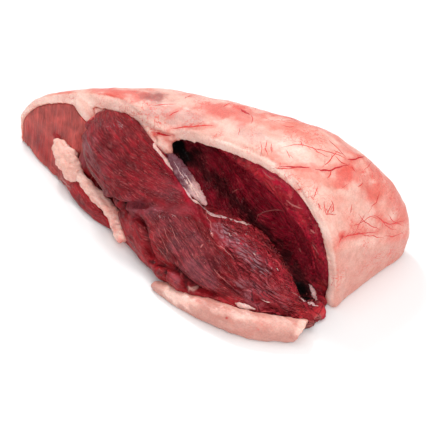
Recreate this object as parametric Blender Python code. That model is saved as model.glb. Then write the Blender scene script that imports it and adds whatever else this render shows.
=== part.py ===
"""A raw lamb chump: the boned, fat-covered joint from between the loin and the leg, lying on its cut underside.

Run it with: blender --background --python part.py

X runs along the joint from its thin end to its thick end, Y from the opened front to the back, and Z up from the
surface it lies on, with X and Y measured from the middle of its underside. Sizes below are in millimetres, and MM
turns them to Blender's metres where a mesh is made.
"""

import bmesh
import bpy
import numpy as np
from mathutils import Vector

MM = 0.001
GAP = 0.35  # between pieces that touch, so that each stays a solid of its own
BELOW = -12.0  # how far a cutter reaches under the surface that the joint lies on
CLEAR = 120.0  # how far a cutter reaches past the joint elsewhere
WELD = 0.02  # points closer than this after the cuts are one point

# The domed outside of the joint, as sections across X:
# x, y of the crest, height, reach to the front, reach to the back, power of the curve
DOME = [
    (-90, -18, 13, 5, 6, 2),
    (-80.5, -15, 25, 12, 13, 2),
    (-67.5, -12, 33.5, 19, 19, 2),
    (-49.5, -8, 41, 34, 27, 2),
    (-29.5, 0, 46, 31, 34, 2),
    (-11.5, 7, 47.5, 23, 33, 2.1),
    (6.5, 10, 50, 25, 33, 2.1),
    (26.5, 12, 53.5, 31, 34, 2.2),
    (50.5, 15, 57, 38, 33, 2.2),
    (64.5, 17, 54, 43, 31, 2.3),
    (73.5, 19, 48, 44, 29, 2.4),
    (79.5, 21, 39.5, 44, 27, 2.6),
    (83, 22, 28.5, 42, 24, 2.8),
    (84.8, 23, 14, 38, 19, 2.8),
]
DOME_RINGS = 28
DOME_SIDES = 18
TUCK = (0.02, 0.09)  # the share by which the walls draw in at the bottom, along X and Y
TUCK_HEIGHT = 16.0
# x, thickness of the fat over the lean
FAT = [(-88.5, 1.6), (-73.5, 3), (-55.5, 5.2), (-28.5, 5.2), (-3.5, 4), (46.5, 4), (72.5, 4.6), (86.5, 5)]

# The opened front, where the fat and the lean were cut: x, y at the surface below, y at FRONT_TOP above it
FRONT = [
    (-98.5, -17, -16.5),
    (-79.5, -21, -11),
    (-63.5, -25, -7),
    (-38.5, -27, -6),
    (-25.5, -15, -6),
    (-16.5, -9, -6),
    (-8.5, -5, -5),
    (-0.5, -2, -2),
    (11.5, -1, -1),
    (50.5, -1, -1),
    (96.5, -1, -1),
]
FRONT_TOP = 45.0
FRONT_STEPS = 40
# x, how far the lean has drawn back behind the cut edge of the fat
LEAN_BACK = [(-98.5, 0.5), (-38.5, 0.5), (6.5, 1.6), (96.5, 1.6)]

# Lobes: x, y, z of the middle line, half width, half height
EYE = [
    (-43.5, -5, 26, 10, 11),
    (-34.5, -10.5, 27.5, 15, 13.5),
    (-21.5, -14.5, 25, 17, 14.5),
    (-5.5, -17.5, 19.5, 15.5, 12.5),
    (18.5, -17.5, 12, 11, 10.5),
]
FLANK = [
    (-13.5, -18, 12, 9, 9),
    (2.5, -23, 11, 12, 12),
    (24.5, -24, 10, 14, 13),
    (46.5, -27, 7, 14, 10),
    (72.5, -25, 4, 9, 6),
]
RIDGE = [(-19.5, -12.5, 20.5, 10, 11), (-3.5, -15.5, 18.5, 11, 12), (12.5, -17.5, 14, 11, 11), (32.5, -19, 10.5, 10, 9)]
BED = [(-27.5, -19, 2, 12, 7), (8.5, -20, 2, 16, 8), (48.5, -21, 2, 17, 8), (84.5, -15, 1, 8, 5)]
INNER = [
    (10.5, -7, 12, 5, 8),
    (40.5, -11, 12, 10, 11),
    (58.5, -15, 10, 9, 10.5),
    (74.5, -19, 6, 7, 7),
    (87.5, -16, 3, 4.5, 4.5),
]
RUMP_FOOT = [(-29.5, -7, 4, 8, 9), (2.5, -4, 2, 9, 8), (36.5, -3, 1, 9, 7), (82.5, -4, 1, 6, 4)]
END_STRIP = [(-73.5, -15, 6, 5, 6), (-53.5, -19.5, 4.5, 6, 5.5), (-31.5, -26.5, 3, 6, 5), (-3.5, -28, 4, 7, 7)]
EDGE_STRIP = [(-13.5, -27, 8, 4, 6), (6.5, -33.5, 7, 4.5, 6), (22.5, -38, 4, 3.5, 4.5)]
EDGE_BEADS = [(20.5, -37, 5, 3, 4), (28.5, -38, 6, 4, 5), (40.5, -39, 6, 4, 4), (52.5, -37, 6, 3, 3)]
TAIL = [(70.5, -13, 2.5, 4, 4), (79.5, -11, 2.5, 5.5, 4.5), (87, -10.5, 1.5, 4, 3.5)]
BONE_POCKET = [
    (-21.5, 1, 30, 8, 8),
    (0.5, 1, 28, 12, 14),
    (26.5, -4, 22, 13, 20),
    (54.5, -5, 16, 12, 19),
    (80.5, -6, 6, 8, 10),
]
FAT_FOLD = [(-23.5, -5, 37, 2.5, 3), (-14.5, -5.5, 35, 3, 3.6), (-8.5, -5, 33, 2.6, 3.2), (-4.5, -5, 30, 1.6, 2)]
FAT_WEDGE = [(-59.5, -10, 33, 2, 3), (-51.5, -10.5, 32, 3, 4), (-43.5, -10, 26, 2, 4)]
SEAM_HEAD = [(-62, -20, 15.5, 2.5, 2), (-55, -21.5, 12.5, 4, 4), (-47, -24, 9, 4.2, 4), (-42, -26, 7.5, 2, 2)]
SEAM_CORD = [
    (-46, -23.5, 9.5, 2.2, 2.2),
    (-32.5, -26.8, 8.5, 2.3, 2.2),
    (-22.5, -28.2, 7.5, 2.4, 2.2),
    (-13, -30, 5.8, 2.8, 2.6),
    (-2.5, -35.5, 3.8, 4.8, 4.2),
]
BASE_FLAP = [
    (23.5, -43.8, 1.5, 2.4, 2),
    (38, -42.2, 2.9, 3.8, 3.6),
    (56, -39.8, 3.9, 4.2, 4.4),
    (72, -34, 4.2, 4.5, 4.7),
    (93, -17.5, 4, 4.8, 4.4),
]
FLAP_END = ((86.3, -23.2, 4.2), (0.84, 0.34, -0.42))  # a point on its slanted end cut, and where the cut faces
SILVERSKIN = [(-6.5, -6, 32, 2, 1), (2.5, -7.5, 28.5, 3, 1), (11, -9.5, 25.5, 3.2, 1), (21.5, -10.5, 21.5, 1.8, 1)]
SILVERSKIN_ROLL = -22.0

# Base colour as linear red, green and blue, and roughness
FAT_LOOK = ((0.83, 0.52, 0.42), 0.5)
LEAN_LOOK = ((0.28, 0.03, 0.04), 0.4)
SILVERSKIN_LOOK = ((0.66, 0.55, 0.54), 0.3)

MUSCLE = {"rings": 17, "sides": 16}
SMALL = {"rings": 12, "sides": 12}
FLAP = {"rings": 16, "sides": 16, "power": 3.6, "blunt": 4.0}


def through(rows, at):
    """Values on a smooth curve through the rows, at places from 0 for the first row to 1 for the last."""
    rows = np.asarray(rows, float)
    padded = np.vstack([2 * rows[0] - rows[1], rows, 2 * rows[-1] - rows[-2]])
    place = np.clip(np.asarray(at, float), 0, 1) * (len(rows) - 1)
    left = np.minimum(place.astype(int), len(rows) - 2)
    t = (place - left)[:, None]
    a, b, c, d = (padded[left + k] for k in range(4))
    return b + 0.5 * t * (c - a + t * (2 * a - 5 * b + 4 * c - d + t * (3 * (b - c) + d - a)))


def table(rows):
    """A function that reads the second column of the rows at any value of the first."""
    xs, values = zip(*rows)
    return lambda x: float(np.interp(x, xs, values))


def closed_piece(name, rings):
    """An object whose mesh joins the rings of points in order and closes both ends."""
    mesh = bmesh.new()
    loops = [[mesh.verts.new(Vector(point) * MM) for point in ring] for ring in rings]
    for first, second in zip(loops, loops[1:]):
        for i, corner in enumerate(first):
            j = (i + 1) % len(first)
            mesh.faces.new((corner, first[j], second[j], second[i]))
    mesh.faces.new(loops[0])
    mesh.faces.new(loops[-1])
    bmesh.ops.triangulate(mesh, faces=mesh.faces)
    bmesh.ops.recalc_face_normals(mesh, faces=mesh.faces)
    data = bpy.data.meshes.new(name)
    mesh.to_mesh(data)
    mesh.free()
    data.shade_smooth()
    piece = bpy.data.objects.new(name, data)
    bpy.context.scene.collection.objects.link(piece)
    return piece


def lobe(name, rows, grow=0.0, roll=0.0, rings=14, sides=14, power=2.2, blunt=2.6):
    """A closed rounded form along a smooth middle line, its ends rounded by the power given as blunt."""
    along = (1 - np.cos(np.linspace(0, np.pi, rings + 2)[1:-1])) / 2
    line = through(rows, along)
    taper = (1 - np.abs(2 * along - 1) ** blunt) ** (1 / blunt)
    forward = np.gradient(line[:, :3], axis=0)
    forward /= np.linalg.norm(forward, axis=1)[:, None]
    line[:, :3] += forward * grow * (2 * along - 1)[:, None]
    level = np.cross(forward, (0, 0, 1))
    level /= np.linalg.norm(level, axis=1)[:, None]
    upright = np.cross(level, forward)
    turn = np.radians(roll)
    angles = np.linspace(0, 2 * np.pi, sides, endpoint=False)
    across = np.sign(np.cos(angles)) * np.abs(np.cos(angles)) ** (2 / power)
    above = np.sign(np.sin(angles)) * np.abs(np.sin(angles)) ** (2 / power)
    made = []
    for row, shrink, side, up in zip(line, taper, level, upright):
        wide, tall = row[3:5] * shrink + grow
        flat = across * wide * np.cos(turn) - above * tall * np.sin(turn)
        rise = across * wide * np.sin(turn) + above * tall * np.cos(turn)
        made.append(row[:3] + flat[:, None] * side + rise[:, None] * up)
    return closed_piece(name, made)


def dome(name, inset, floor=0.0):
    """The domed outside, drawn in everywhere by inset(x), with a flat underside at the height of floor."""
    first, last = DOME[0][0], DOME[-1][0]
    middle, half = (first + last) / 2, (last - first) / 2
    angles = np.linspace(0, np.pi, DOME_SIDES)
    made = []
    for x, crest, height, front, back, power in through(DOME, np.linspace(0, 1, DOME_RINGS)):
        drawn = inset(x)
        reach = np.where(angles < np.pi / 2, drawn - front, back - drawn)
        y = reach * np.abs(np.cos(angles)) ** (2 / power)
        z = (height - drawn) * np.abs(np.sin(angles)) ** (2 / power)
        z[[0, -1]] = 0
        if floor < 0:
            y, z = np.append(y, y[[-1, 0]]), np.append(z, [floor, floor])
        under = np.clip(1 - z / TUCK_HEIGHT, 0, 1) ** 2
        along = middle + (x - middle) * (1 - drawn / half) * (1 - TUCK[0] * under)
        made.append(np.stack([along, crest + y * (1 - TUCK[1] * under), z], axis=1))
    return closed_piece(name, made)


def front_cutter(name, back):
    """All that lies in front of the opened front, drawn back by back(x)."""
    heights = (BELOW, 0, FRONT_TOP / 3, FRONT_TOP * 2 / 3, FRONT_TOP, CLEAR)
    made = []
    for x, low, high in through(FRONT, np.linspace(0, 1, FRONT_STEPS)):
        edge = [(x, low + (high - low) * np.clip(z / FRONT_TOP, 0, 1) + back(x), z) for z in heights]
        made.append(edge + [(x, -CLEAR, CLEAR), (x, -CLEAR, BELOW)])
    return closed_piece(name, made)


def beyond(name, point, facing):
    """A block that fills all beyond a flat cut through the point."""
    facing = Vector(facing).normalized()
    level = facing.orthogonal() * CLEAR
    upright = facing.cross(level)
    corners = [Vector(point) + level * a + upright * b for a, b in ((-1, -1), (1, -1), (1, 1), (-1, 1))]
    return closed_piece(name, [corners, [corner + facing * CLEAR for corner in corners]])


def boolean(piece, others, operation="DIFFERENCE"):
    """Joins or takes away other pieces, which are then only guides and no part of the joint."""
    for other in others:
        other.hide_render = True
        other.display_type = "WIRE"
        step = piece.modifiers.new(other.name, "BOOLEAN")
        step.operation = operation
        step.object = other
        step.solver = "EXACT"


def join(piece, *others):
    boolean(piece, others, "UNION")


def cut(piece, *others):
    boolean(piece, others)


def finish(piece, look):
    """Closes hairline steps left by the cuts and gives the piece its own material."""
    weld = piece.modifiers.new("weld", "WELD")
    weld.merge_threshold = WELD * MM
    colour, roughness = look
    material = bpy.data.materials.new(piece.name)
    material.use_nodes = True
    surface = material.node_tree.nodes["Principled BSDF"]
    surface.inputs["Base Color"].default_value = (*colour, 1)
    surface.inputs["Roughness"].default_value = roughness
    surface.inputs["Metallic"].default_value = 0.0
    piece.data.materials.append(material)
    return piece


def make_board():
    """What lies under the joint and presses its underside flat."""
    sides = [(-CLEAR, 2 * BELOW), (CLEAR, 2 * BELOW), (CLEAR, 0), (-CLEAR, 0)]
    return closed_piece("board", [[(x, y, z) for y, z in sides] for x in (-CLEAR, CLEAR)])


def make_cap_room():
    """The fat cap with the gap round it."""
    depth = table(FAT)
    room = dome("cap_room", lambda x: -GAP, BELOW)
    cut(room, dome("cap_room_inside", lambda x: depth(x) + GAP, 2 * BELOW))
    cut(room, front_cutter("cap_room_front", lambda x: -GAP))
    join(room, lobe("fold_room", FAT_FOLD, GAP), lobe("wedge_room", FAT_WEDGE, GAP, **SMALL))
    return room


def make_fat_cap():
    cap = dome("fat_cap", lambda x: 0.0)
    cut(cap, dome("cap_inside", table(FAT), BELOW), front_cutter("cap_front", lambda x: 0.0))
    join(cap, lobe("fold", FAT_FOLD), lobe("wedge", FAT_WEDGE, **SMALL))
    return finish(cap, FAT_LOOK)


def make_lean(board):
    """The muscles of the joint, which are one piece of meat."""
    lean = dome("lean", table(FAT))
    cut(lean, front_cutter("lean_front", table(LEAN_BACK)), lobe("bone_pocket", BONE_POCKET))
    join(lean, lobe("foot", RUMP_FOOT, **SMALL), lobe("end_strip", END_STRIP, **SMALL))
    join(lean, lobe("eye", EYE, **MUSCLE), lobe("flank", FLANK, **MUSCLE), lobe("inner", INNER, **MUSCLE))
    join(lean, lobe("ridge", RIDGE, **MUSCLE), lobe("bed", BED, **SMALL))
    join(lean, lobe("edge_strip", EDGE_STRIP, **SMALL), lobe("edge_beads", EDGE_BEADS, **SMALL))
    join(lean, lobe("tail", TAIL, **SMALL))
    cut(lean, make_cap_room(), board)
    cut(lean, lobe("head_room", SEAM_HEAD, GAP, **SMALL), lobe("cord_room", SEAM_CORD, GAP, **SMALL))
    cut(lean, lobe("flap_room", BASE_FLAP, GAP, **FLAP))
    cut(lean, lobe("silverskin_room", SILVERSKIN, GAP, SILVERSKIN_ROLL, **SMALL))
    return finish(lean, LEAN_LOOK)


def make_seam_fat(board):
    seam = lobe("seam_fat", SEAM_HEAD, **SMALL)
    join(seam, lobe("cord", SEAM_CORD, **SMALL))
    cut(seam, board)
    return finish(seam, FAT_LOOK)


def make_base_flap(board):
    flap = lobe("base_flap", BASE_FLAP, **FLAP)
    cut(flap, board, beyond("flap_end", *FLAP_END))
    return finish(flap, FAT_LOOK)


def make_silverskin():
    skin = lobe("silverskin", SILVERSKIN, roll=SILVERSKIN_ROLL, **SMALL)
    cut(skin, lobe("skin_end", FAT_FOLD, GAP))
    return finish(skin, SILVERSKIN_LOOK)


def stand_on_origin(pieces):
    """Hangs everything on one empty and moves it, so that the middle of the underside is the origin."""
    carrier = bpy.data.objects.new("lamb_chump", None)
    bpy.context.scene.collection.objects.link(carrier)
    for thing in bpy.data.objects:
        if thing != carrier:
            thing.parent = carrier
    seen = bpy.context.evaluated_depsgraph_get()
    corners = [Vector(corner) for piece in pieces for corner in piece.evaluated_get(seen).bound_box]
    low = Vector([min(corner[k] for corner in corners) for k in range(3)])
    high = Vector([max(corner[k] for corner in corners) for k in range(3)])
    carrier.location = (-(low.x + high.x) / 2, -(low.y + high.y) / 2, -low.z)


def main():
    for old in list(bpy.data.objects):
        bpy.data.objects.remove(old)
    board = make_board()
    pieces = [make_fat_cap(), make_lean(board), make_seam_fat(board), make_base_flap(board)]
    pieces.append(make_silverskin())
    stand_on_origin(pieces)


main()
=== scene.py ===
"""The looks of a raw lamb chump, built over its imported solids.

Each solid is copied as an even, fine mesh. Its flat facets are smoothed out, and then it gets the lumps,
creases, wrinkles and grain of real meat and fat. Gristle, films and blood vessels are laid on what results.
Sizes in the tables are in millimetres, along the frame's own X, Y and Z.
"""

from functools import partial
from itertools import product

import bmesh
import bpy
import numpy as np
from bpy.props import FloatProperty, FloatVectorProperty, PointerProperty
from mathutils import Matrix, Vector
from mathutils.bvhtree import BVHTree


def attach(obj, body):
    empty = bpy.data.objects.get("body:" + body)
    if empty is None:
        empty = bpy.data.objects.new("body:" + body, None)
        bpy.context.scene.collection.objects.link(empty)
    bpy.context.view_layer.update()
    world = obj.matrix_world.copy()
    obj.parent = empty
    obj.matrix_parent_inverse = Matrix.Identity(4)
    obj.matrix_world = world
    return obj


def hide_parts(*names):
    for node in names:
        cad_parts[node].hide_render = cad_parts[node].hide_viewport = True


bl_info = {
    "name": "Raw lamb chump",
    "version": (1, 0, 0),
    "blender": (4, 5, 0),
    "location": "3D View > Sidebar > Lamb chump",
    "description": "Builds the meat, fat, gristle and blood vessels of a raw lamb chump over its solids",
    "category": "Add Mesh",
}

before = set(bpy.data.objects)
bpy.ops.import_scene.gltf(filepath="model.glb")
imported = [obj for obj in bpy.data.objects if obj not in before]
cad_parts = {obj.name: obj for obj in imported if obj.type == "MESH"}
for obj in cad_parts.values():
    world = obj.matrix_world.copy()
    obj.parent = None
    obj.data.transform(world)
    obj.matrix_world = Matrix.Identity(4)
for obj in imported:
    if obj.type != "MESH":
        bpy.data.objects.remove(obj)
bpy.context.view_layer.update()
MM = 0.001
BODY = "root"

# The camera looks down on the meat from its front right. Places given as pairs are pixels of its view
AZIMUTH, ELEVATION, DISTANCE = 45, 40, 700
AIM = (17.16, -1.77, 8.2)
# The width of the view in pixels
VIEW = 430
PIXELS_PER_MM = 2.4
FOCAL = PIXELS_PER_MM * DISTANCE
SENSOR = 36

# Middle lines of the muscles: x, y, z, half width, half height
EYE = [
    (-43, -6, 26, 10, 11),
    (-34, -11.5, 27.5, 15, 13.5),
    (-21, -15.5, 25, 17, 14.5),
    (-5, -18, 19.5, 15.5, 12.5),
    (14, -18, 14, 12, 11),
    (33, -20, 11, 10, 9),
]
FLANK = [
    (-13, -19, 12, 9, 9),
    (3, -24, 11, 12, 12),
    (25, -25, 10, 14, 13),
    (47, -28, 7, 14, 10),
    (73, -26, 4, 9, 6),
]
INNER = [
    (11, -8, 12, 5, 8),
    (41, -12, 12, 10, 11),
    (59, -16, 10, 9, 10.5),
    (75, -20, 6, 7, 7),
    (88, -17, 3, 4.5, 4.5),
]
END_STRIP = [(-73, -16, 6, 5, 6), (-53, -20.5, 4.5, 6, 5.5), (-31, -27.5, 3, 6, 5), (-3, -29, 4, 7, 7)]
EDGE_STRIP = [(-13, -28, 8, 4, 6), (7, -34.5, 7, 4.5, 6), (23, -39, 4, 3.5, 4.5)]
EDGE_BEADS = [(21, -38, 5, 3, 4), (29, -39, 6, 4, 5), (41, -40, 6, 4, 4), (53, -38, 6, 3, 3)]
POCKET = [
    (-21, 0, 30, 8, 8),
    (1, 0, 28, 12, 14),
    (27, -5, 22, 13, 20),
    (55, -6, 16, 12, 19),
    (81, -7, 6, 8, 10),
]
# The outer end of the meat has its cut face to the front, with fibres that run down it
END_FACE = [(-88, -6, 13, 8, 12), (-66, 2, 15, 14, 16), (-48, 10, 18, 14, 16)]
# The thin end reaches up to this X. Its fibres are finer and less clear than those of the other muscles
END_LIMIT, END_FINENESS, END_CLEARNESS = -43, 1.7, 0.55
# Muscles that don't reach into the thin end
BEYOND_END = ("eye", "flank", "inner", "edge_strip", "edge_beads", "pocket")
# Further than any muscle reaches
FAR = 50
# How far the colours of two muscles run into each other
COLOUR_BLUR = 0.9
# The wrinkles of the inner muscle set in between the first two X and fade out between the last two
WRINKLES_START, WRINKLES_STOP = (16, 36), (92, 84)
# The strips along the foot lie in front of a line that leans forward. They are thin and get less smoothing
STRIPS_LEAN, STRIPS_BORDER, STRIPS_SMOOTHING = 0.35, (-36, -32), 0.3
# How high fibres, lumps and wrinkles stand
FIBRE_HEIGHT, LUMP_HEIGHT, WRINKLE_HEIGHT = 0.3, 0.35, 0.52
# How far the lean and the cap swell against each other, to close the gap between their solids
LEAN_CLOSING, CAP_CLOSING = 0.3, 0.15
# Bumps calm down between the first two distances from the next piece. Pieces come to touch between the others
FREE, CALM = 3.0, 0.8
APART, TOUCHING = 1.2, 0.6

# Creases in the lean: places, depth and half width in millimetres, and how far the upper lip overhangs
CREASES = (
    (((108, 197), (113, 199), (122, 203), (130, 204), (139, 205), (151, 207)), 2.6, 1.0, 0.4),
    (((92, 121), (86, 128), (80, 139), (77, 152), (78, 166), (84, 177), (92, 187), (100, 191)), 2.2, 1.3, 0),
    (((92, 121), (96, 114), (105, 110)), 1.0, 0.9, 0),
    (((194, 214), (199, 224), (201, 233), (208, 242)), 0.7, 0.8, 0),
    (((210, 222), (212, 235), (221, 247), (230, 254), (235, 261)), 1.0, 0.9, 0),
    (
        ((206, 247), (210, 258), (216, 272), (226, 283), (239, 292), (254, 300), (268, 307), (279, 313)),
        2.0, 0.9, 0.4,
    ),
    (((213, 265), (225, 279), (234, 287), (247, 295)), 0.7, 0.7, 0),
    (
        ((150, 261), (160, 264), (170, 267), (180, 273), (189, 281), (197, 288), (207, 293),
         (220, 296), (234, 301)),
        2.2, 1.0, 0,
    ),
    (((272, 314), (281, 318), (290, 315), (295, 308)), 0.9, 0.8, 0),
    (((128, 213), (136, 217), (143, 226), (147, 238), (150, 252), (156, 264)), 2.6, 1.3, 0),
    (((151, 237), (159, 253), (171, 265)), 0.6, 0.7, 0),
    (((157, 234), (166, 248), (178, 262)), 0.6, 0.7, 0),
    (((164, 234), (174, 247), (184, 261)), 0.5, 0.7, 0),
    (((58, 134), (58, 146)), 1.6, 1.2, 0),
    (((205, 296), (222, 300), (240, 306)), 0.8, 0.8, 0),
    (((165, 267), (166, 275), (168, 283)), 1.7, 0.8, 0),
    (((184, 279), (186, 286), (188, 292)), 1.5, 0.8, 0),
    (((296, 283), (302, 290), (309, 297)), 2.2, 1.7, 0),
    (((121, 203), (125, 208), (129, 213)), 3.0, 1.4, 0),
    (((112, 118), (124, 136), (131, 155), (136, 172)), 0.35, 0.8, 0),
    (((99, 128), (108, 150), (119, 172), (131, 190)), 0.35, 0.8, 0),
    (((128, 126), (141, 146), (153, 168), (163, 186)), 0.35, 0.8, 0),
)
# Swellings of the lean: places, radius and height in millimetres
SWELLINGS = (
    (((157, 269), (160, 274)), 2.3, 1.9),
    (((171, 277), (179, 284)), 2.3, 2.0),
    (((191, 289),), 1.6, 1.3),
    (((126, 186), (142, 195), (158, 200)), 4.0, 0.8),
    (((135, 228), (142, 246)), 2.6, 0.8),
    (((205, 300), (222, 304)), 2.2, 0.6),
    (((288, 303),), 3.5, 0.7),
    (((124, 208), (136, 211), (150, 213)), 2.2, 0.9),
    (((322, 299), (323, 304)), 2.4, 1.0),
    (((214, 226), (228, 236)), 3.0, 0.5),
    (((322, 321), (325, 316)), 3.0, -2.0),
    (((154, 210), (162, 211), (170, 212)), 1.2, -0.5),
)
# Blood vessels in the fat: places and half width in millimetres
VESSELS = (
    (((155, 133), (162, 134), (171, 136)), 0.45),
    (((261, 141), (262, 150), (260, 157)), 0.13),
    (((271, 143), (272, 152)), 0.12),
    (((286, 150), (290, 158)), 0.12),
    (((322, 168), (330, 160), (338, 150)), 0.15),
    (((310, 145), (318, 152), (330, 158)), 0.13),
    (((318, 203), (322, 210)), 0.15),
    (((330, 200), (334, 208), (331, 213)), 0.14),
    (((352, 205), (350, 214)), 0.13),
    (((358, 214), (368, 224), (380, 230)), 0.15),
    (((388, 214), (394, 222), (404, 226)), 0.15),
    (((384, 236), (394, 236), (404, 232)), 0.15),
    (((240, 128), (238, 135)), 0.12),
    (((296, 182), (303, 191)), 0.12),
    (((169, 116), (174, 113.5), (179, 110.5)), 0.22),
    (((170, 129), (186, 127), (202, 125.5), (214, 126)), 0.2),
    (((153, 105), (165, 104.5), (177, 104)), 0.16),
    (((241, 109), (245, 112), (250, 114.5)), 0.5),
    (((250, 114.5), (253, 119), (251, 124)), 0.16),
    (((328, 139), (337, 148), (346.7, 158)), 0.18),
    (((280, 148), (297, 144.5), (313, 148), (340, 155.5), (346.7, 159)), 0.17),
    (((346.7, 159), (355.5, 159), (365, 157), (368.5, 158.6)), 0.3),
    (((280, 167), (292, 167), (301, 167), (306.7, 167.5), (311, 167)), 0.28),
    (((315.5, 169), (323, 170.2), (331, 170.5), (337.8, 167), (350, 165)), 0.32),
    (((331, 170.5), (330, 175.5), (328, 178)), 0.18),
    (((351, 166.7), (355.5, 172)), 0.18),
    (((317.8, 186.7), (316, 193), (313, 200)), 0.16),
    (((324, 201), (325, 209), (326, 215)), 0.16),
    (((333, 203), (329, 209), (326, 215)), 0.16),
    (((324.4, 215), (330, 214), (334.4, 215)), 0.16),
    (((357.8, 186.7), (363, 182.8)), 0.16),
    (((342, 237), (350, 235.5), (361, 234), (377.8, 232)), 0.2),
    (((361, 234), (372, 236), (384, 238)), 0.15),
    (((374.4, 215.5), (381, 220), (390, 224), (398, 222), (405.5, 221)), 0.2),
    (((352, 226), (360, 223), (368, 218), (374.4, 215.5)), 0.16),
    (((381, 220), (388, 227), (396, 231)), 0.15),
    (((272, 168), (287, 168.5), (300, 168)), 0.14),
    (((342, 237), (339, 243)), 0.2),
    (((267, 140), (266, 148), (268, 155)), 0.14),
    (((300, 140), (303, 147)), 0.12),
    (((296, 190), (301, 189)), 0.2),
    (((380, 190), (377, 200), (370, 208)), 0.13),
)
# How many short vessels lie on the back of the cap
HIDDEN_VESSELS = 70
# The back of the cap lies behind this Y and above this Z
BACK_Y, BACK_Z = 14, 3
# Vessels with the first half width or more stain the fat about them, and those above the second are dark
STAINING, CLOTTED = 0.2, 0.25
# A twig may leave a vessel at every ninth point, with this chance and half width
TWIG_STEP, TWIG_CHANCE, TWIG_WIDTH = 9, 0.45, 0.09
# Blushes on the fat cap: places, radius in millimetres, colour and strength
BLUSHES = (
    (((205, 104), (225, 110), (248, 119)), 6.5, "stained", 0.62),
    (((215, 99), (250, 107), (290, 119), (325, 133), (350, 150)), 4.5, "stained", 0.45),
    (((262, 122), (285, 128), (305, 137)), 5, "pink", 0.7),
    (((98, 91), (120, 92), (142, 96)), 5, "stained", 0.75),
    (((149, 98), (162, 100)), 6, "thin", 0.9),
    (((98, 94), (116, 97), (133, 109), (147, 123), (158, 134)), 0.9, "stained", 0.5),
    (((170, 100), (186, 98), (197, 103)), 4, "pale", 0.8),
    (((142, 108), (160, 114), (182, 122), (205, 128)), 6, "pale", 0.9),
    (((215, 131), (240, 137)), 4, "pale", 0.6),
    (((256, 134), (280, 142), (305, 156)), 6.5, "pale", 0.8),
    (((290, 168), (310, 180), (322, 200)), 6, "pale", 0.55),
    (((346, 176),), 6.5, "stained", 0.85),
    (((350, 167), (358, 176)), 4, "stained", 0.5),
    (((364, 184), (372, 194)), 5, "stained", 0.45),
    (((372, 168), (378, 176)), 5, "stained", 0.55),
    (((386, 192), (400, 208), (408, 218)), 4, "stained", 0.4),
    (((392, 243), (402, 247)), 6, "stained", 0.55),
    (((360, 222), (382, 224), (398, 228)), 6, "pink", 0.7),
    (((335, 205), (352, 218)), 7, "pink", 0.5),
    (((342, 237),), 2.6, "stained", 0.95),
    (((340, 245), (356, 248), (372, 246)), 4, "pale", 0.4),
    (((150, 110), (172, 116), (192, 120)), 5, "veil", 0.65),
    (((205, 108), (228, 114)), 6, "stained", 0.4),
    (((284, 140), (306, 149)), 5, "cut", 0.5),
    (((350, 206), (366, 214), (372, 224)), 5, "pale", 0.7),
    (((302, 174), (318, 178), (330, 182)), 4, "pink", 0.6),
    (((240, 132), (258, 138)), 4, "veil", 0.35),
    (((78, 109), (88, 112), (91, 119)), 3, "pale", 0.8),
    (((153, 136), (157, 144), (163, 154)), 1.0, "pink", 0.7),
    (((154, 134), (161, 133), (168, 136)), 1.0, "stained", 0.8),
    (((160, 141), (164, 149)), 2.0, "cut", 0.8),
)
# Swellings of the cap: places, radius and height in millimetres
CAP_SWELLINGS = (
    (((236, 106), (262, 112), (295, 121), (325, 133)), 8, 1.1),
    (((362, 158), (378, 176), (392, 192)), 5, 0.6),
    (((335, 300),), 4.5, 1.5),
)
# Blushes on the other pieces of fat: places, radius in millimetres, colour and strength
TRIM_BLUSHES = {
    "seam_fat": (
        (((55, 140), (57, 144)), 0.8, "point", 0.8),
        # Painted glint on the seam fat
        (((79, 171), (81, 175)), 1.0, "white", 1.0),
        (((113, 232), (120, 240)), 3, "stained", 0.5),
        (((70, 174), (75, 178)), 1.5, "stained", 0.35),
        (((88, 190), (104, 206)), 1.4, "cut", 0.6),
        (((62, 148), (68, 158), (75, 168)), 7, "pale", 0.9),
        (((88, 186), (102, 204), (113, 224)), 4, "pink", 0.22),
    ),
    "base_flap": (
        (((152, 289), (168, 294), (186, 301)), 4, "cut", 0.9),
        # Painted shade below the flap's ridge
        (((205, 311), (240, 326), (270, 334), (292, 336)), 3.6, "shade", 0.7),
        (((215, 309), (250, 318), (290, 322)), 2, "cut", 0.4),
        (((227, 318),), 0.6, "point", 0.9),
        (((258, 330),), 0.5, "stained", 0.8),
        (((302, 322), (299, 333)), 1.8, "cut", 0.9),
    ),
}
# Small red points where vessels end: place and radius in millimetres
RED_POINTS = (((342, 237), 1.1), ((191, 97), 0.6), ((298, 190), 0.5), ((279, 178), 0.4), ((231, 131), 0.4))
# Middle of the cap's cut rim round the pocket, and the half width of its cream band in millimetres
RIM = ((184, 139), (203, 142), (219, 145), (231, 149), (251, 158), (275, 168), (291, 184), (304, 204),
       (314, 225), (322, 246), (327, 270), (329, 292))
RIM_HALF_WIDTH = 2.1
RIM_EDGE = ((183, 133), (200, 135.5), (217, 139), (232, 143), (244, 147), (258, 154), (272, 162), (284, 172),
            (297, 186), (309, 205), (319, 226), (327, 250), (332, 275), (334, 298))
# Creases in the cap: places, depth and half width in millimetres, and how far the upper lip overhangs
CAP_CREASES = (
    (RIM_EDGE, 0.45, 0.7, 0),
    (((153, 136), (157, 144), (163, 154)), 1.3, 0.8, 0.3),
    (((154, 134), (161, 133), (168, 136), (175, 136)), 1.2, 0.8, 0.3),
    (((92, 96), (112, 97), (132, 108), (148, 121)), 0.3, 0.8, 0),
    (((76, 111), (90, 112)), 0.4, 0.8, 0),
)
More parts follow.
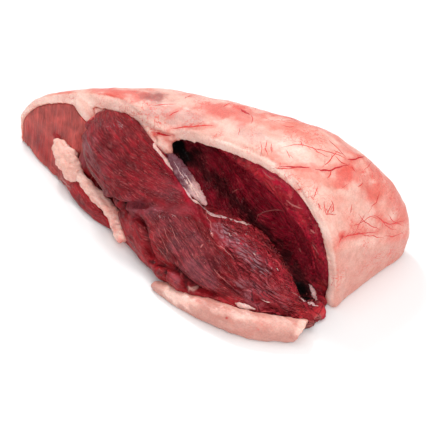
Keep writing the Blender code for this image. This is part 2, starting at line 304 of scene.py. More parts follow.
# Gristle on the lean: places, half width in millimetres and colour
GRISTLE = (
    (((192, 199), (197, 202), (203, 205)), 0.6, "white"),
    (((203, 205), (208, 213), (214, 216), (222, 217), (230, 219), (238, 222), (246, 223.5)), 0.45, "ragged"),
    (((198, 203), (206, 210), (214, 215), (224, 216)), 0.3, "ragged"),
    (((238, 221.5), (244, 223), (250, 224.5)), 0.8, "white"),
    (((255.5, 221), (259, 214.5), (268, 211), (279, 210), (285, 212.5)), 0.28, "pink"),
    (((201, 198), (206, 210), (210, 222), (212.5, 234)), 0.28, "pink"),
    (((211, 232), (213, 237)), 0.75, "pink"),
    (((208, 240), (221, 247), (230, 254.5), (235, 261)), 0.26, "pink"),
    (((204, 244), (200, 248)), 0.3, "pink"),
    (((213, 268), (216, 272), (224.5, 280), (234, 288)), 0.3, "pink"),
    (((286, 200), (293.5, 205.5), (302.5, 209)), 0.4, "pink"),
    (((310, 229), (315, 233)), 0.5, "pink"),
    (((312, 243.5), (316, 250), (319, 256)), 0.25, "pink"),
    (((232, 193), (236, 190), (242, 189)), 0.22, "pink"),
    (((299, 247), (301, 252)), 0.3, "pink"),
    (((309, 284), (312, 289), (314, 296), (317, 303)), 1.1, "ragged"),
    (((299, 296.5), (304.5, 301.5), (311, 303.5), (318, 306)), 0.9, "ragged"),
    (((290, 291), (297, 295.5), (304, 301)), 0.3, "pink"),
    (((151, 137), (155, 145), (160, 153), (167, 162), (174, 171), (180, 180)), 1.1, "white"),
    (((177, 175), (182, 183), (187, 192), (193, 200)), 0.7, "ragged"),
    (((170, 214), (177, 217)), 0.2, "pink"),
    (((149, 236), (152, 248), (160, 260), (170, 268)), 0.16, "pink"),
    (((153, 232), (157, 246), (166, 258), (174, 266)), 0.13, "pink"),
    (((158, 228), (163, 242), (170, 254)), 0.14, "pink"),
    (((163, 225), (168, 238), (176, 250)), 0.12, "pink"),
    (((171, 226), (175, 236), (181, 246)), 0.12, "pink"),
    (((262, 170), (268, 176), (275, 181)), 0.3, "pink"),
    (((196, 196), (200, 193), (203, 190)), 0.5, "white"),
    # White thread laid as a painted glint, under the seam fat
    (((78, 168), (80, 172), (81, 178)), 0.5, "white"),
    (((235, 303), (243, 306), (255, 309)), 1.1, "white"),
    (((60, 175), (65, 182), (71, 188)), 0.6, "pink"),
    (((49, 163), (55, 170), (60, 176)), 0.4, "red"),
    (((262, 300), (270, 303)), 0.25, "white"),
    (((228, 233), (231, 236)), 0.3, "white"),
    (((253, 253), (256, 256)), 0.25, "white"),
    (((277, 268), (279, 271)), 0.3, "white"),
)
# How many small scraps of tissue are strewn over the lean as painted glints, the way that most of them point,
# and how squarely the surface has to face the camera where they lie, with 1 for fully
SCRAP_GLINTS = 50
SCRAP_HEADING = (4, -1, -1)
SCRAP_FACING = 0.5
# Fibres that shine on the silverskin: places, half width in millimetres and colour
FILM_LINES = (
    (((173, 160), (182, 175), (192, 191)), 0.16, "ragged"),
    (((186, 175), (192, 186), (198, 196), (203, 204)), 0.35, "white"),
    (((182, 170), (192, 184), (201, 196)), 0.16, "ragged"),
    (((186, 180), (193, 191), (199, 203)), 0.4, "white"),
    (((190, 186), (198, 192), (204, 200)), 0.3, "white"),
)
# Greyish, darker or fresher places on the lean, painted shade in its hollows and creases, and a painted
# reflection on the eye: places, radius in millimetres, colour and strength
PATCHES = (
    # Painted reflection of the pale floor on the eye's left edge
    (((84, 145), (84, 160)), 4, "bloom_and_reflection", 0.8),
    (((135, 206), (150, 212)), 5, "bloom_and_reflection", 0.6),
    (((172, 216), (186, 232)), 8, "bloom_and_reflection", 0.3),
    (((190, 245), (200, 262)), 8, "bloom_and_reflection", 0.35),
    (((97, 111), (103, 110)), 2.2, "fatty", 0.9),
    (((190, 268), (210, 280)), 5, "bloom_and_reflection", 0.5),
    (((170, 195),), 7, "bloom_and_reflection", 0.4),
    (((218, 230), (236, 250), (262, 270)), 3.5, "bloom_and_reflection", 0.3),
    (((105, 165),), 6, "bloom_and_reflection", 0.3),
    (((236, 158), (262, 176), (280, 194)), 3.2, "raw", 0.75),
    (((290, 200), (306, 222)), 3.5, "raw", 0.45),
    (((312, 245), (320, 262)), 3, "raw", 0.5),
    (((322, 284), (325, 302)), 3, "raw", 0.8),
    (((56, 136), (60, 148)), 2.5, "raw", 0.9),
    (((30, 130), (45, 155)), 4, "raw", 0.35),
    # Painted shade along the creases between the nodules of the foot
    (((150, 262), (160, 265), (170, 267), (180, 273), (189, 281), (197, 288)), 1.1, "hollow_shade", 0.8),
    (((165, 268), (166, 275), (168, 283)), 0.9, "hollow_shade", 0.8),
    (((184, 279), (186, 286)), 0.9, "hollow_shade", 0.7),
    (((158, 271),), 1.6, "bloom_and_reflection", 0.5),
    (((173, 277), (178, 282)), 1.8, "bloom_and_reflection", 0.6),
    (((190, 288), (193, 290)), 1.4, "fatty", 0.6),
    (((205, 298), (236, 304)), 3.5, "raw", 0.7),
    (((300, 311), (312, 315), (323, 309)), 3.4, "raw", 0.95),
    (((303, 327), (313, 326), (323, 319)), 2.6, "fatty", 0.3),
    (((60, 180), (68, 190)), 2.0, "fatty", 0.7),
    (((152, 238), (160, 256), (170, 266)), 2.5, "raw", 0.4),
    # Painted shade, nearly black: the far corner of the pocket, the valley beside it, the hole at its end, a
    # spot under the rim and the crease under the eye
    (((174, 144), (182, 150), (190, 158)), 7, "deep_shade", 1.0),
    (((193, 159), (207, 172), (220, 184), (231, 197), (242, 209)), 5.5, "hollow_shade", 0.8),
    (((250, 215), (270, 240), (292, 268), (306, 290)), 5, "hollow_shade", 0.9),
    (((268, 243), (288, 270), (304, 291)), 2.6, "deep_shade", 0.5),
    (((297, 286), (308, 297)), 3.4, "deep_shade", 1.0),
    (((236, 157), (245, 160)), 2.2, "deep_shade", 0.6),
    (((110, 197), (116, 199)), 1.6, "deep_shade", 1.0),
    (((123, 204), (127, 209)), 2.2, "deep_shade", 1.0),
    (((129, 220), (134, 240), (143, 258)), 3.2, "raw", 0.45),
    (((160, 250), (176, 258)), 2, "dark", 0.6),
    # Painted shade in a crease between the nodules
    (((150, 267), (166, 275)), 1.0, "deep_shade", 0.4),
)
# The torn tip of the lean. No grain shows this near to it, and all of it that far away
TIP = ((304, 324), (314, 322), (324, 314))
TIP_TORN, TIP_WHOLE = 2.5, 6
# Where a reflection of the pale sky is painted on the wrinkles: places, radius in millimetres and strength
SHINES = (
    (((217, 227), (229, 238)), 3.4, 1.0),
    (((238, 242), (250, 254), (264, 268)), 3.8, 1.0),
    (((240, 283), (262, 296)), 4.5, 0.45),
    (((268, 285), (284, 300)), 3, 0.4),
    # Painted reflection on the eye's left edge
    (((92, 140), (90, 160)), 3, 0.35),
)
# The wall of the cap lies below a line that falls to the back, and is painted duller as shade: the line's
# height at Y 0, and its fall for each millimetre. The wall sets in between two X
WALL_TOP, WALL_FALL, WALL_START = 29.5, 0.42, (73, 78)
# The cell size of the smaller pieces' meshes, in metres
TRIM_CELL, FILM_CELL = 0.4 * MM, 0.3 * MM
# The left part of the seam fat is its lump, which is more ragged than the cord
LUMP_LIMIT = -38
# How bright the white sky is. Lamps: name, place and size in metres, and power in watts
SKY = 0.62
LAMPS = (
    ("overhead", (0.0, 0.12, 0.8), 0.5, 1.4),
    ("window", (-0.42, 0.2, 0.62), 0.12, 1.9),
    ("fill", (0.5, -0.3, 0.5), 0.4, 2.2),
)
# The floor's side in metres, and how far it lies under the meat in millimetres
FLOOR_SIZE, FLOOR_DROP = 6, 0.2


def linear(code):
    """An sRGB hex colour as linear red, green and blue."""
    parts = [int(code[k : k + 2], 16) / 255 for k in (0, 2, 4)]
    return tuple(c / 12.92 if c <= 0.04045 else ((c + 0.055) / 1.055) ** 2.4 for c in parts)


def tint(name, code, description):
    shown = {"subtype": "COLOR", "size": 3, "min": 0, "max": 1}
    return FloatVectorProperty(name=name, description=description, default=linear(code), **shown)


def length(name, size, description):
    return FloatProperty(name=name, description=description, unit="LENGTH", min=0, default=size * MM)


class LeanLook(bpy.types.PropertyGroup):
    end: tint("End face", "C85B55", "Cut face of the thin end, the palest of the lean")
    eye: tint("Eye", "880C1B", "Round muscle that bulges from the front")
    flank: tint("Flank", "7A121B", "Flat muscle under the eye")
    inner: tint("Inner", "AA2A35", "Wrinkled muscle beside the pocket")
    strips: tint("Strips", "A01520", "Thin strips along the foot")
    pocket: tint("Pocket", "AC1530", "Hollow that the bone came out of")
    # A greyish film of drying, and also a painted reflection of the pale floor on the eye's left edge
    bloom_and_reflection: tint("Bloom", "8C4650", "Greyish film of drying surface")
    raw: tint("Fresh", "BC2C34", "Places that were cut last, the reddest of the lean")
    fatty: tint("Fatty", "EAB2A6", "Lean with fat showing through")
    dark: tint("Dark", "5E0A12", "Folds that stay wet")
    # Painted shade: nearly black red where the valley beside the pocket and the creases between the nodules
    # lie in shade
    hollow_shade: tint("Hollow", "2E0308", "Bottom of the valley beside the pocket")
    # Painted shade: nearly black, for the bottoms of the deepest hollows and creases
    deep_shade: tint("Deep", "0A0001", "Bottoms of the deepest hollows")
    # Painted reflection on the crests of the wrinkles
    sheen: tint("Sheen", "B6868F", "Wet crests of the wrinkles, which mirror a pale sky")
    # Painted highlight: the colour of fibres that catch the light, and of small painted glints
    fibre_highlight: tint("Light fibres", "C45C5A", "Fibres that catch the light")
    cell: length("Mesh size", 0.55, "Length of the mesh's cells")
    fibre: length("Fibre width", 0.9, "Width of a bundle of fibres")
    wrinkle: length("Wrinkle width", 2.3, "From one wrinkle to the next on the inner muscle")


class FatLook(bpy.types.PropertyGroup):
    pale: tint("Pale fat", "EFC1B3", "Clean firm fat")
    pink: tint("Pink fat", "E68474", "Fat with some blood in it")
    stained: tint("Stained fat", "E2564A", "Fat over the larger vessels")
    cut: tint("Cut fat", "FFD9CC", "Fresh cut edge")
    thin: tint("Thin fat", "A0544F", "Fat so thin that the lean shows through")
    point: tint("Red point", "C01820", "End of a vessel")
    # Painted shade: the duller colour of the cap's end wall, which turns from the light
    wall: tint("Wall", "DCA497", "Smooth end wall of the cap")
    veil: tint("Veiled fat", "CFA29C", "Fat under a thin greyish film")
    # Painted glint: a white spot on the seam fat
    white: tint("White fat", "FFEAE4", "Thin tissue that shines")
    # Painted shade: the duller colour low on the flap's front, below its ridge
    shade: tint("Dull fat", "C88E83", "Fat that has dried near the board")
    cell: length("Mesh size", 0.65, "Length of the mesh's cells")


class TrimLook(bpy.types.PropertyGroup):
    white: tint("White gristle", "E4B8B0", "Thick connective tissue")
    pink: tint("Pink gristle", "BC6462", "Thin connective tissue that the lean shows through")
    red: tint("Red gristle", "C04440", "Torn fibres between gristle and lean")
    film: tint("Film", "74434F", "Silverskin that the lean shows through")
    ragged: tint("Ragged film", "DDB2B0", "Torn end of the silverskin")
    vessel: tint("Vessel", "E42C28", "Small blood vessels in the fat")
    clot: tint("Clot", "C81420", "Larger blood vessels in the fat")


def scatter(cells, seed):
    """A repeatable number from -1 to 1 for each whole-numbered cell."""
    mixed = (cells.astype(np.int64) @ np.array((73856093, 19349663, 83492791))).astype(np.uint64)
    mixed += np.uint64(seed * 2654435761 % 2**63)
    for shift, factor in ((15, 2246822519), (13, 3266489917), (16, 668265263)):
        mixed = (mixed ^ (mixed >> np.uint64(shift))) * np.uint64(factor)
    return (mixed >> np.uint64(40)).astype(float) / 2**23 - 1


def noise(points, seed, octaves=1):
    """Smooth noise from about -1 to 1, with lumps about one unit wide. Each seed gives another noise."""
    total, weight = np.zeros(len(points)), 1.0
    for octave in range(octaves):
        scaled = points * 2**octave
        cell = np.floor(scaled)
        part = scaled - cell
        smooth = part * part * (3 - 2 * part)
        layer = np.zeros(len(points))
        for corner in product((0, 1), repeat=3):
            share = np.prod(np.where(corner, smooth, 1 - smooth), axis=1)
            layer += share * scatter(cell + corner, seed + octave)
        total += layer * weight
        weight /= 2
    return total


def ramp(values, low, high):
    """0 at low, 1 at high, and smooth in between."""
    share = np.clip((values - low) / (high - low), 0, 1)
    return share * share * (3 - 2 * share)


def through(rows, count):
    """Points on a smooth curve through the rows."""
    rows = np.asarray(rows, float)
    padded = np.vstack([2 * rows[0] - rows[1], rows, 2 * rows[-1] - rows[-2]])
    place = np.linspace(0, len(rows) - 1, count)
    left = np.minimum(place.astype(int), len(rows) - 2)
    t = (place - left)[:, None]
    a, b, c, d = (padded[left + k] for k in range(4))
    return b + 0.5 * t * (c - a + t * (2 * a - 5 * b + 4 * c - d + t * (3 * (b - c) + d - a)))


def nearest(points, line):
    """For each point, the number of the nearest point of the line, and how far it is."""
    best = np.full(len(points), np.inf)
    which = np.zeros(len(points), int)
    for k, target in enumerate(line):
        square = ((points - target) ** 2).sum(1)
        closer = square < best
        best[closer] = square[closer]
        which[closer] = k
    return which, np.sqrt(best)


def along_muscle(points, rows, tilt):
    """Where points lie on a muscle: distance from its surface, and how far along and across its fibres."""
    line = through(rows, 70)
    centre = line[:, :3]
    forward = np.gradient(centre, axis=0)
    steps = np.linalg.norm(forward, axis=1)
    forward /= steps[:, None]
    level = np.cross(forward, (0, 0, 1))
    level /= np.linalg.norm(level, axis=1)[:, None]
    upright = np.cross(level, forward)
    which, _ = nearest(points, centre)
    offset = points - centre[which]
    wide, tall = line[which, 3], line[which, 4]
    side = (offset * level[which]).sum(1) / wide
    rise = (offset * upright[which]).sum(1) / tall
    ahead = (offset * forward[which]).sum(1)
    past = ahead / np.minimum(wide, tall)
    gap = np.abs(np.sqrt(side**2 + rise**2 + past**2) - 1) * np.minimum(wide, tall)
    around = np.arctan2(rise, side) * (wide + tall) / 2
    travelled = np.cumsum(steps)[which] + ahead
    turn = np.radians(tilt)
    run = travelled * np.cos(turn) + around * np.sin(turn)
    return gap, run, around * np.cos(turn) - travelled * np.sin(turn)


def view_axes():
    """The camera's right, its up, and the way from its aim back to it."""
    azimuth, elevation = np.radians((AZIMUTH, ELEVATION))
    right = np.array((np.cos(azimuth), np.sin(azimuth), 0))
    level = np.array((np.sin(azimuth), -np.cos(azimuth), 0))
    back = level * np.cos(elevation) + np.array((0, 0, np.sin(elevation)))
    return right, np.cross(back, right), back


def seen(tree, places, least=1):
    """The points of a surface that lie behind places in the view. There are to be at least that many."""
    right, up, back = view_axes()
    eye = np.array(AIM) + back * DISTANCE
    found = []
    for across, down in places:
        way = right * (across - VIEW / 2) / FOCAL - up * (down - VIEW / 2) / FOCAL - back
        hit = tree.ray_cast(Vector(eye), Vector(way))[0]
        if hit:
            found.append(hit)
    if len(found) < least:
        raise RuntimeError(f"Too little lies behind {places}")
    return np.array(found)


def fetched(rows, field, kind=np.float32, size=3):
    """One field of all vertices, normals or edges of a mesh."""
    flat = np.empty(len(rows) * size, kind)
    rows.foreach_get(field, flat)
    return flat.reshape(-1, size)


def placed(name, data):
    """A new object in the scene."""
    made = bpy.data.objects.new(name, data)
    bpy.context.scene.collection.objects.link(made)
    return made


class Skin:
    """An even fine copy of a solid, whose points are moved and painted in millimetres."""

    def __init__(self, node, name, cell, hidden=None, share=1.0):
        """hidden weighs each point by its place. The mesh is thinned there, until share of it is left."""
        self.node = node
        self.known = None
        self.piece = placed(name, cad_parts[node].data.copy())
        remesh = self.piece.modifiers.new("even", "REMESH")
        remesh.mode = "VOXEL"
        remesh.voxel_size = cell
        self.apply()
        if hidden:
            self.weigh("hidden", hidden(self.points))
            thin = self.piece.modifiers.new("thin", "DECIMATE")
            thin.ratio = share
            thin.vertex_group = "hidden"
            thin.vertex_group_factor = 1000
            self.apply()

    def apply(self):
        """Takes the piece as its modifiers leave it."""
        graph = bpy.context.evaluated_depsgraph_get()
        made = bpy.data.meshes.new_from_object(self.piece.evaluated_get(graph))
        old = self.piece.data
        self.piece.modifiers.clear()
        self.piece.data = made
        bpy.data.meshes.remove(old)
        self.points = fetched(made.vertices, "co").astype(float) / MM

    def write(self):
        """Gives the piece's mesh the points as they are now."""
        self.piece.data.vertices.foreach_set("co", (self.points * MM).astype(np.float32).ravel())
        self.piece.data.update()

    def normals(self):
        return fetched(self.piece.data.vertex_normals, "vector").astype(float)

    def push(self, amounts):
        """Moves each point out along its normal, but not into the board."""
        self.points += self.normals() * amounts[:, None]
        self.points[:, 2] = np.maximum(self.points[:, 2], 0)
        self.write()

    def weigh(self, name, weights):
        """Stores weights from 0 to 1 as a vertex group, in steps of a tenth."""
        group = self.piece.vertex_groups.new(name=name)
        for step in range(1, 11):
            chosen = np.flatnonzero(np.round(weights * 10) == step)
            if len(chosen):
                group.add(chosen.tolist(), step / 10, "REPLACE")

    def relax(self, rounds, weights=None):
        """Smooths the facets out, and gives the roundness back that this takes."""
        if weights is not None:
            self.weigh("relax", weights)
        results = []
        for _ in range(2):
            smooth = self.piece.modifiers.new("smooth", "SMOOTH")
            smooth.factor = 0.5
            smooth.iterations = rounds
            if weights is not None:
                smooth.vertex_group = "relax"
            self.apply()
            results.append(self.points)
        self.points = 2 * results[0] - results[1]
        self.write()

    def near(self, line, reach):
        """The points within reach of a line: their numbers, distances from it and places along it."""
        boxed = ((self.points > line.min(0) - reach) & (self.points < line.max(0) + reach)).all(1)
        inside = np.flatnonzero(boxed)
        which, far = nearest(self.points[inside], line)
        kept = far < reach
        return inside[kept], far[kept], which[kept] / max(len(line) - 1, 1)

    def crease(self, places, depth, width, overhang):
        """How far a crease through places in the view moves each point: a groove with raised lips."""
        line = through(seen(self.tree(), places, 2), 60)
        amounts = np.zeros(len(self.points))
        chosen, far, place = self.near(line, 6 * width)
        beside = line[np.round(place * (len(line) - 1)).astype(int)]
        over = (self.points[chosen] - beside) @ view_axes()[1]
        lip = 0.22 * np.exp(-(((far - 2.2 * width) / width) ** 2))
        lip += overhang * ramp(over, 0, width) * np.exp(-(((far - 3 * width) / (1.5 * width)) ** 2))
        taper = ramp(np.minimum(place, 1 - place), -0.02, 0.2)
        taper = taper * (1 + 0.4 * noise(self.points[chosen] / 2.5, 61))
        amounts[chosen] = depth * taper * (lip - np.exp(-((far / width) ** 2)))
        return amounts

    def swelling(self, places, radius, height):
        """How far a soft swelling about places in the view moves each point."""
        amounts = np.zeros(len(self.points))
        chosen, far, _ = self.near(self.spots(places), 2.5 * radius)
        amounts[chosen] = height * np.exp(-((far / radius) ** 2))
        return amounts

    def spots(self, places):
        """A line through places in the view, or the one point behind a single place."""
        found = seen(self.tree(), places)
        return through(found, 40) if len(found) > 1 else found

    def patch(self, places, radius, size, seed, octaves):
        """The points about places in the view, and how much each belongs to them, with an uneven border."""
        chosen, far, _ = self.near(self.spots(places), radius * 1.6)
        edge = far / radius + 0.5 * noise(self.points[chosen] / size, seed, octaves)
        return chosen, ramp(edge, 1.2, 0.2)

    def blush(self, colours, places, radius, colour, strength):
        """Lays a colour over the points about places in the view."""
        chosen, share = self.patch(places, radius, 0.5 * radius + 0.5, 71, 4)
        cover(colours, colour, strength * share, chosen)

    def blushes(self, colours, look, rows):
        """Lays the colours of a table on the skin. Its rows say places, radius, colour and strength."""
        for places, radius, colour, strength in rows:
            self.blush(colours, places, radius, getattr(look, colour), strength)

    def forms(self, creases, swellings):
        """How far the rows of both tables move each point."""
        amounts = sum(self.crease(*row) for row in creases)
        return amounts + sum(self.swelling(*row) for row in swellings)

    def paint(self, name, values):
        """Stores a number, a vector or a colour for each point."""
        values = np.asarray(values, np.float32)
        kinds = {1: ("FLOAT", "value"), 3: ("FLOAT_VECTOR", "vector"), 4: ("FLOAT_COLOR", "color")}
        kind, field = kinds[values.shape[-1] if values.ndim > 1 else 1]
        layer = self.piece.data.attributes.new(name, kind, "POINT")
        layer.data.foreach_set(field, values.ravel())

    def inside(self, kinds):
        """1 for points well inside a region of one kind, 0 at its borders, and in between next to those."""
        edges = fetched(self.piece.data.edges, "vertices", np.int32, 2)
        away = np.ones(len(self.points))
        away[edges[kinds[edges[:, 0]] != kinds[edges[:, 1]]]] = 0
        for _ in range(3):
            beside = np.minimum(away[edges[:, 0]], away[edges[:, 1]]) + 0.33
            np.minimum.at(away, edges, beside[:, None])
        return away

    def tree(self):
        """The skin's own surface, as it was last meshed or smoothed."""
        if self.known is not self.points:
            faces = [tuple(face.vertices) for face in self.piece.data.polygons]
            self.known = self.points
            self.found = BVHTree.FromPolygons(self.points.tolist(), faces)
        return self.found

    def done(self, slot, material):
        dress(self.piece, material)
        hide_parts(self.node)


def dress(piece, material):
    piece.data.materials.clear()
    piece.data.materials.append(material)
    piece.data.shade_smooth()
    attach(piece, BODY)


def tree_of(piece):
    """The surface of a piece, to measure from, in millimetres."""
    points = [vertex.co / MM for vertex in piece.data.vertices]
    return BVHTree.FromPolygons(points, [tuple(face.vertices) for face in piece.data.polygons])


def distances(tree, points, reach):
    """How far each point is from a surface, up to reach."""
    found = [tree.find_nearest(point, reach)[3] for point in points.tolist()]
    return np.array([reach if far is None else far for far in found])


def contact(tree, points):
    """How free each point is of a surface, from 0 to 1, and how much it touches that surface."""
    far = distances(tree, points, 4.0)
    return ramp(far, CALM, FREE), ramp(far, APART, TOUCHING)


def cover(colours, layer, share, chosen=slice(None)):
    """Lays a colour over the chosen colours. share says how much of it each of them takes."""
    colours[chosen, :3] += (np.array(layer) - colours[chosen, :3]) * np.reshape(share, (-1, 1))


def blend(layers, count):
    """Lays colours over each other. Each layer is a colour and how much of it each point takes."""
    colours = np.ones((count, 4))
    for layer, share in layers:
        cover(colours, layer, share)
    return colours


class Threads:
    """Closed cords, flattened and half sunk in a surface, that are joined into one piece."""

    # The sides of a cord, and about how far its rings lie from each other
    SIDES = 8
    STEP = 0.5

    def __init__(self, tree, seed):
        self.tree = tree
        self.rng = np.random.default_rng(seed)
        self.points, self.faces, self.colours = [], [], []

    def drape(self, line):
        """The line laid on the surface, and the surface's normals under it."""
        hits = [self.tree.find_nearest(point)[:2] for point in line.tolist()]
        return np.array([hit for hit, _ in hits]), np.array([normal for _, normal in hits])

    def route(self, places, sway):
        """A slightly winding line through places in the view, near the surface."""
        corners = seen(self.tree, places, 2)
        size = np.linalg.norm(np.diff(corners, axis=0), axis=1).sum()
        line = through(corners, max(int(size / self.STEP), 5))
        offset = np.stack([noise(line / 2.2, int(self.rng.integers(1000)), 2) for _ in range(3)], axis=1)
        return line + offset * sway

    def creep(self, start, heading, size):
        """A line that wanders over the surface from a start."""
        line = [np.array(start)]
        for _ in range(max(int(size), 3)):
            point, normal = (np.array(part) for part in self.tree.find_nearest(line[-1].tolist())[:2])
            heading = heading - normal * (heading @ normal)
            heading += np.cross(normal, heading) * self.rng.normal(0, 0.3)
            heading /= np.linalg.norm(heading)
            line.append(point + heading)
        return through(line, len(line) * 2)

    def lay(self, line, width, colour, height=0.3):
        """Adds a cord of that half width along a line. height is how thick it is for its width."""
        middle, normals = self.drape(line)
        forward = np.gradient(middle, axis=0)
        forward /= np.linalg.norm(forward, axis=1)[:, None] + 1e-9
        across = np.cross(normals, forward)
        count = len(middle)
        place = np.linspace(0, 1, count)
        swell = 1 + 0.35 * noise(middle / 1.6, int(self.rng.integers(1000)))
        wide = width * swell * (0.25 + 0.75 * ramp(np.minimum(place, 1 - place), 0, 0.3))
        first = sum(len(part) for part in self.points)
        turn = 2 * np.pi * np.arange(self.SIDES) / self.SIDES
        rings = (
            middle[:, None]
            + across[:, None] * (wide[:, None] * np.cos(turn))[..., None]
            + normals[:, None] * (height * wide[:, None] * (np.sin(turn) - 0.1))[..., None]
        )
        self.points.append(rings.reshape(-1, 3))
        for ring in range(count - 1):
            for k in range(self.SIDES):
                here, beside = first + ring * self.SIDES + k, first + ring * self.SIDES + (k + 1) % self.SIDES
                self.faces.append((here, beside, beside + self.SIDES, here + self.SIDES))
        last = first + (count - 1) * self.SIDES
        self.faces.append(tuple(first + k for k in reversed(range(self.SIDES))))
        self.faces.append(tuple(last + k for k in range(self.SIDES)))
        self.colours += [(*colour, 1)] * (count * self.SIDES)
        return middle, forward, normals

    def done(self, name, slot, material):
        data = bpy.data.meshes.new(name)
        data.from_pydata((np.vstack(self.points) * MM).tolist(), [], self.faces)
        layer = data.attributes.new("flesh", "FLOAT_COLOR", "POINT")
        layer.data.foreach_set("color", np.array(self.colours, np.float32).ravel())
        face_out(data)
        dress(placed(name, data), material)


def face_out(data):
    """Turns the faces of closed cords outward."""
    solid = bmesh.new()
    solid.from_mesh(data)
    bmesh.ops.recalc_face_normals(solid, faces=solid.faces)
    solid.to_mesh(data)
    solid.free()


def add(tree, kind, inputs=None, out=0, **settings):
    """Adds a node and gives its output. Each of its inputs takes a plain value or another node's output."""
    made = tree.nodes.new("ShaderNode" + kind)
    for name, value in settings.items():
        setattr(made, name, value)
    for name, value in (inputs or {}).items():
        if isinstance(value, bpy.types.NodeSocket):
            tree.links.new(value, made.inputs[name])
        else:
            made.inputs[name].default_value = value
    return made.outputs[out]


# The numbers of the colour sockets of a Mix node, and its settings to lay over, multiply and add
FACTOR, FIRST, SECOND, MIXED = 0, 6, 7, 2
OVER = {"data_type": "RGBA"}
TIMES = {"data_type": "RGBA", "blend_type": "MULTIPLY"}
PLUS = {"data_type": "RGBA", "blend_type": "ADD"}
# The numbers of the sockets of a Map Range node
VALUE, FROM_LOW, FROM_HIGH, TO_LOW, TO_HIGH = range(5)


def start_material(name, **surface):
    """A new material with plain values on its shader's own sockets, and the function that adds its nodes."""
    material = bpy.data.materials.new(name)
    material.use_nodes = True
    shader = material.node_tree.nodes["Principled BSDF"]
    for socket, value in surface.items():
        shader.inputs[socket.replace("_", " ")].default_value = value
    return material, partial(add, material.node_tree)


def finish_material(material, **surface):
    """Links what varies over the surface to the shader."""
    tree = material.node_tree
    shader = tree.nodes["Principled BSDF"]
    for socket, value in surface.items():
        tree.links.new(value, shader.inputs[socket.replace("_", " ")])
    return material


